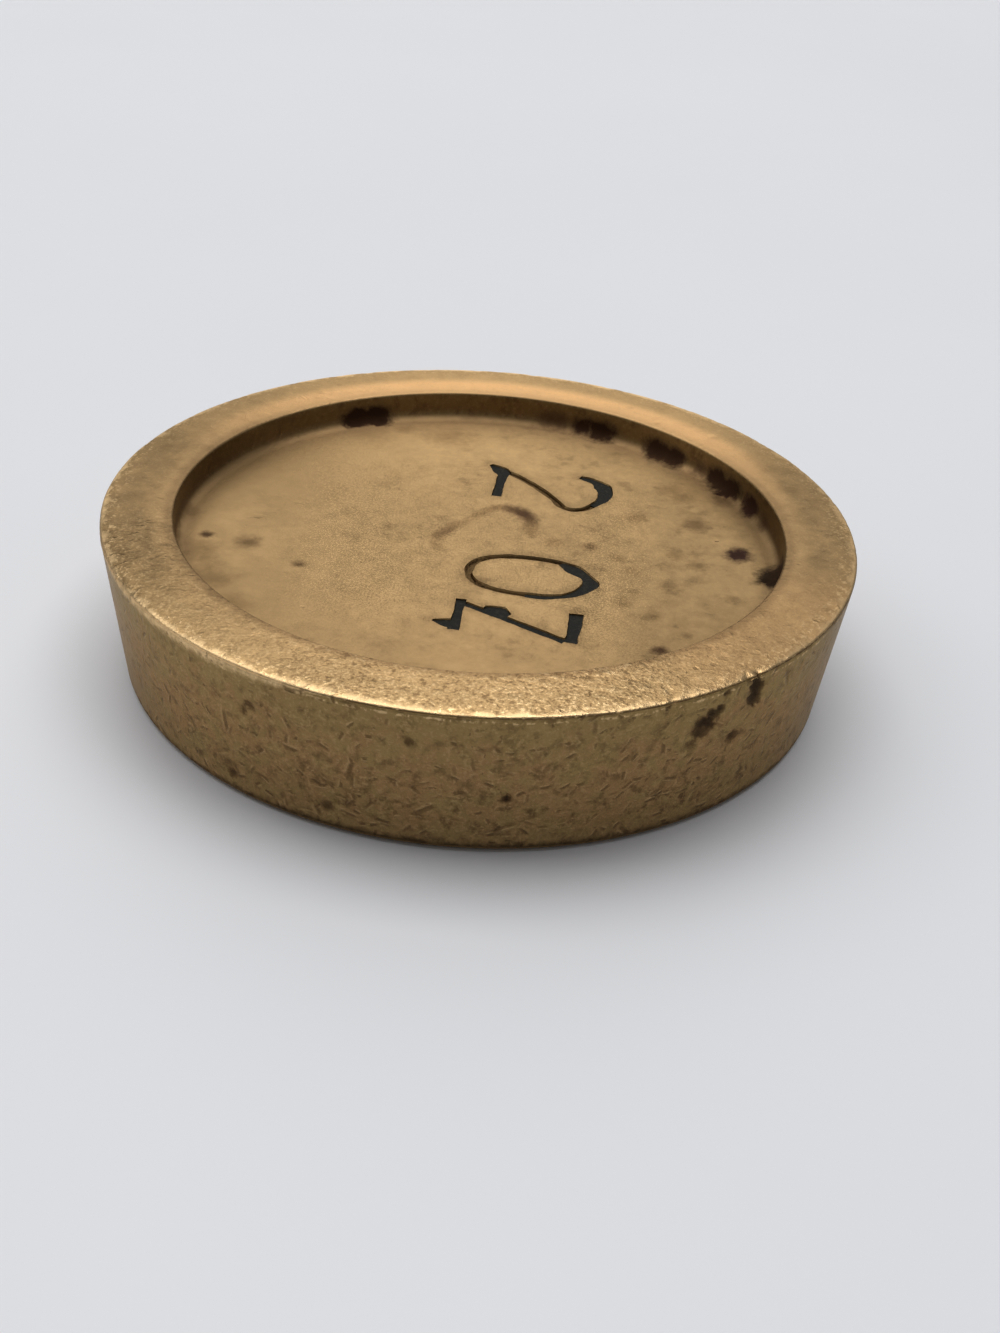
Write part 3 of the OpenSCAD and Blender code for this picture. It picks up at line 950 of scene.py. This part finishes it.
def united_tree():
    """Makes one closed piece of bars that run into each other."""
    tree, given = shape_tree("united_bars", [("Bars", "Collection"), ("Material", "Material")])
    bars = node(tree, "GeometryNodeCollectionInfo", {
        "Collection": given["Bars"], "Separate Children": True})
    united = node(tree, "GeometryNodeMeshBoolean", operation="UNION", solver="MANIFOLD")
    tree.links.new(bars.outputs[0], united.inputs["Mesh 2"])
    finish_tree(tree, united.outputs["Mesh"], given["Material"])
    return tree


fill_profile = [(1, -FILL_GAP, dish_z - FILL_DROP), (FILL_BOTTOM, FILL_GAP, dish_z - DEEP - FILL_BITE)]
fill_set = bpy.data.collections.new("fill_bars")
for name in FILLED:
    fill_set.objects.link(swept_stroke("fill_bar", strokes[name], fill_profile))
filling = shaped(
    plain_object("value_mark_filling", []),
    (united_tree(), {"Bars": fill_set, "Material": filling_finish()}))
for scrap in list(fill_set.objects):
    bpy.data.objects.remove(scrap)
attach(filling, "root")

# The adjusting plug. Lead is run into the undercut cavity, then hammered in or drilled out until the
# weight is true, so its face is lumpy and dull and lies a little inside the foot.
plug_low, plug_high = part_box("adjusting_plug")
plug_z = plug_low.z / MM
plug_roof_r = plug_high.x / MM
PLUG_FACE_R = 4.7  # of its flat face, inside the round that the hammer leaves
PLUG_EDGE = 0.3
PLUG_GAP = 0.02  # between the plug's flank and the cavity
PLUG_SQUARES = 64  # across its face
DULL_LEAD = (0.12, 0.12, 0.125, 1)
BRIGHT_LEAD = (0.3, 0.3, 0.31, 1)


def lead():
    """Hammered lead: a soft grey skin, with brighter metal on the high places."""
    material, tree = new_material("hammered_lead")
    place = in_mm(tree)
    patches = cloud(place, 0.8, 4.0, 0.6)
    fine = cloud(place, 7.0, 3.0, 0.6, seed=(3, 1, 4))
    bump = node(tree, "ShaderNodeBump", {
        "Strength": 1.0, "Distance": MM, "Height": fine * 0.02 + patches * 0.03})
    principled(tree, {
        "Base Color": mixed((patches * 0.8 + fine * 0.4).rise(0.4, 0.8), DULL_LEAD, BRIGHT_LEAD),
        "Metallic": 0.85, "Roughness": 0.5 + patches * 0.2, "Normal": bump.outputs[0]})
    return material


def hammered_tree():
    """Sinks the plug's face where a round hammer has struck it, blow beside blow."""
    tree, given = shape_tree("hammered_face", [
        ("Blow size", "Float"), ("Blow depth", "Float"), ("Face height", "Float"),
        ("Material", "Material")])
    place = Field(node(tree, "GeometryNodeInputPosition").outputs[0])
    blows = node(tree, "ShaderNodeTexVoronoi", {
        "Vector": place.vector("SCALE", 1 / Field(given["Blow size"])), "Scale": 1.0})
    off = Field(blows.outputs["Distance"])
    force = split(Field(blows.outputs["Color"]))[2]
    on_face = (split(place)[2] / Field(given["Face height"])).math("LESS_THAN", 1.5)
    sunk = (1 - off * off).math("MAXIMUM", 0.0) * (force * 0.6 + 0.4) * on_face
    sunk = sunk * Field(given["Blow depth"])
    moved = node(tree, "GeometryNodeSetPosition", {
        "Geometry": given["Mesh"], "Offset": joined(tree, 0, 0, sunk)})
    soft = node(tree, "GeometryNodeSetShadeSmooth", {"Geometry": moved.outputs[0], "Shade Smooth": True})
    finish_tree(tree, soft.outputs[0], given["Material"])
    return tree


lead_finish = lead()
plug_edge_r = MOUTH_R + UNDERCUT * plug_z / CAVITY_DEPTH - PLUG_GAP
plug_section = turned_section([
    (PLUG_FACE_R, plug_z, 0, FINE), (plug_edge_r, plug_z, PLUG_EDGE, FINE),
    (plug_roof_r, CAVITY_DEPTH, 0, COARSE), (0, CAVITY_DEPTH, 0, plug_roof_r)])
plug = shaped(
    section_object("lead_plug", plug_section),
    (turning, {"Disc squares": PLUG_SQUARES, "Disc radius": PLUG_FACE_R * MM,
               "Disc height": plug_z * MM, "Faces down": True, "Material": lead_finish}),
    (hammered_tree(), {"Blow size": 1.7 * MM, "Blow depth": 0.14 * MM, "Face height": plug_z * MM,
                       "Material": lead_finish}))
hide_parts("adjusting_plug")
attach(plug, "root")

# The table: a plain pale board that runs well past the picture.
TABLE_HALF = 2000.0
PALE = (0.76, 0.765, 0.79, 1)
PALER = (0.80, 0.805, 0.83, 1)
table_material, table_tree = new_material("pale_table")
principled(table_tree, {
    "Base Color": mixed(cloud(in_mm(table_tree), 0.02, 3.0), PALE, PALER), "Roughness": 0.55})
table = plain_object("table", [
    (-TABLE_HALF, -TABLE_HALF, 0), (TABLE_HALF, -TABLE_HALF, 0),
    (TABLE_HALF, TABLE_HALF, 0), (-TABLE_HALF, TABLE_HALF, 0)], faces=[(0, 1, 2, 3)])
table.data.materials.append(table_material)

# Light: large soft panels, the strongest overhead and a little behind, in a dim pale room.
ROOM_COLOUR = (0.94, 0.97, 1.0, 1)
ROOM_STRENGTH = 0.17


def soft_light(name, width, depth, power, place, aim):
    """A panel of light of that size in metres, aimed at a point."""
    data = bpy.data.lights.new(name, "AREA")
    data.shape = "RECTANGLE"
    data.size = width
    data.size_y = depth
    data.energy = power
    light = bpy.data.objects.new(name, data)
    light.location = place
    light.rotation_mode = "QUATERNION"
    light.rotation_quaternion = (Vector(aim) - Vector(place)).to_track_quat("-Z", "Y")
    bpy.context.scene.collection.objects.link(light)


soft_light("overhead", width=1.2, depth=0.9, power=9.06, place=(-0.2, 0, 1.1), aim=(0, 0, 0))
soft_light("left", width=0.9, depth=0.7, power=2.91, place=(-0.15, -0.95, 0.95), aim=(0, 0, 0))
soft_light("behind", width=1.2, depth=0.8, power=2.65, place=(-1.0, -0.2, 0.75), aim=(0, -0.2, 0))
world = bpy.data.worlds.new("pale_room")
world.use_nodes = True
world.node_tree.nodes["Background"].inputs["Color"].default_value = ROOM_COLOUR
world.node_tree.nodes["Background"].inputs["Strength"].default_value = ROOM_STRENGTH
bpy.context.scene.world = world
bpy.context.scene.view_settings.view_transform = "Standard"
